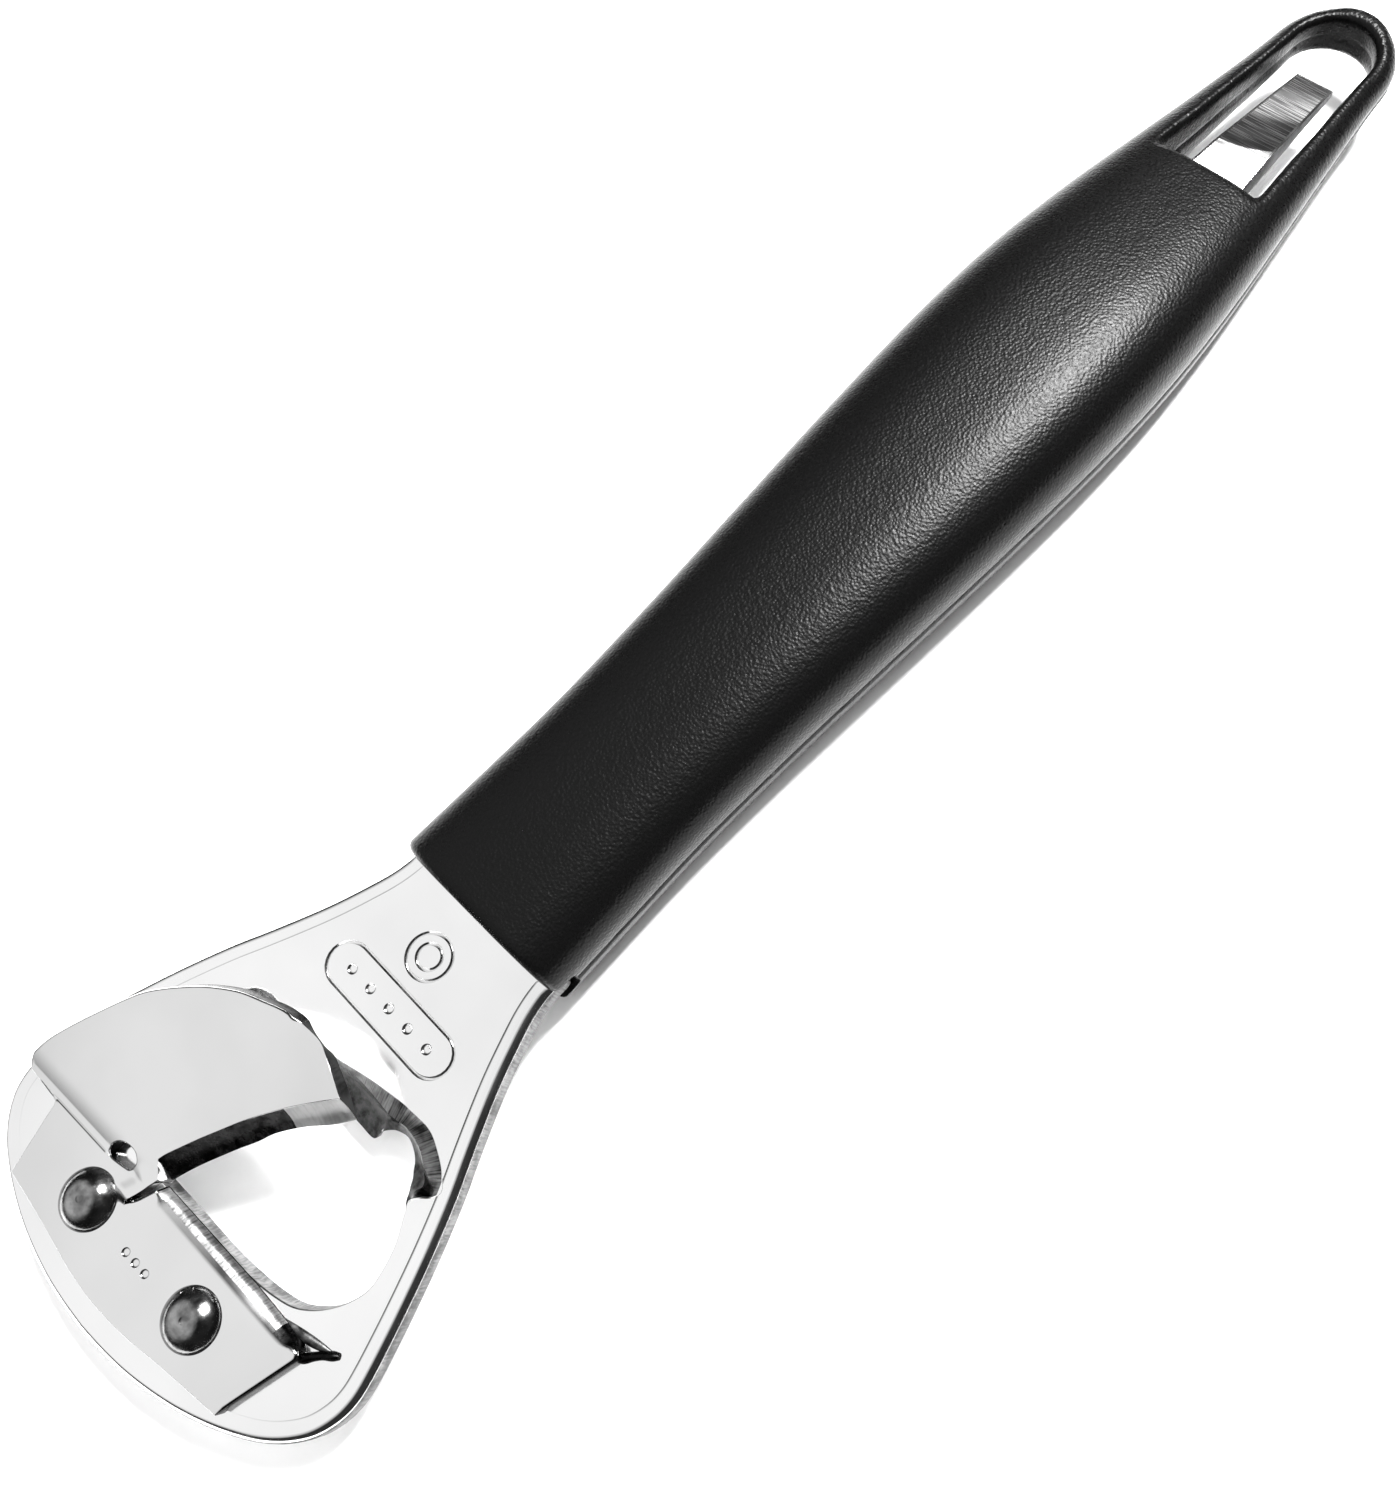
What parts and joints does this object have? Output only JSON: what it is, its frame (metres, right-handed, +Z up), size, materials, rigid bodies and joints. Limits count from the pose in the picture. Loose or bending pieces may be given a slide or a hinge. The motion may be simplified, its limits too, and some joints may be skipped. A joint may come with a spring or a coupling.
{
  "type": "manual can opener",
  "caption": "Hand-held lever can opener: steel head with a fixed cutting blade, crown-cap opening and prying lip, and a plastic grip with a hanging loop around a tab lifter.",
  "frame": {"origin": "under the middle of the overall length and width, on the surface the opener lies on", "axes": "+X from the head to the hanging loop, +Y across the tool towards the blade's wide root, +Z up on the blade side"},
  "size_m": [0.1697, 0.0418, 0.0148],
  "materials": {
    "polished_steel": "mirror polished",
    "blade_steel": "mirror polished, ground cutting edge",
    "rivet_steel": "polished",
    "black_plastic": "fine spark-eroded grain"
  },
  "bodies": {
    "root": {"body_plate": "polished_steel", "cutter_blade": "blade_steel", "rivet_left": "rivet_steel", "rivet_right": "rivet_steel", "handle": "black_plastic"}
  },
  "joints": []
}
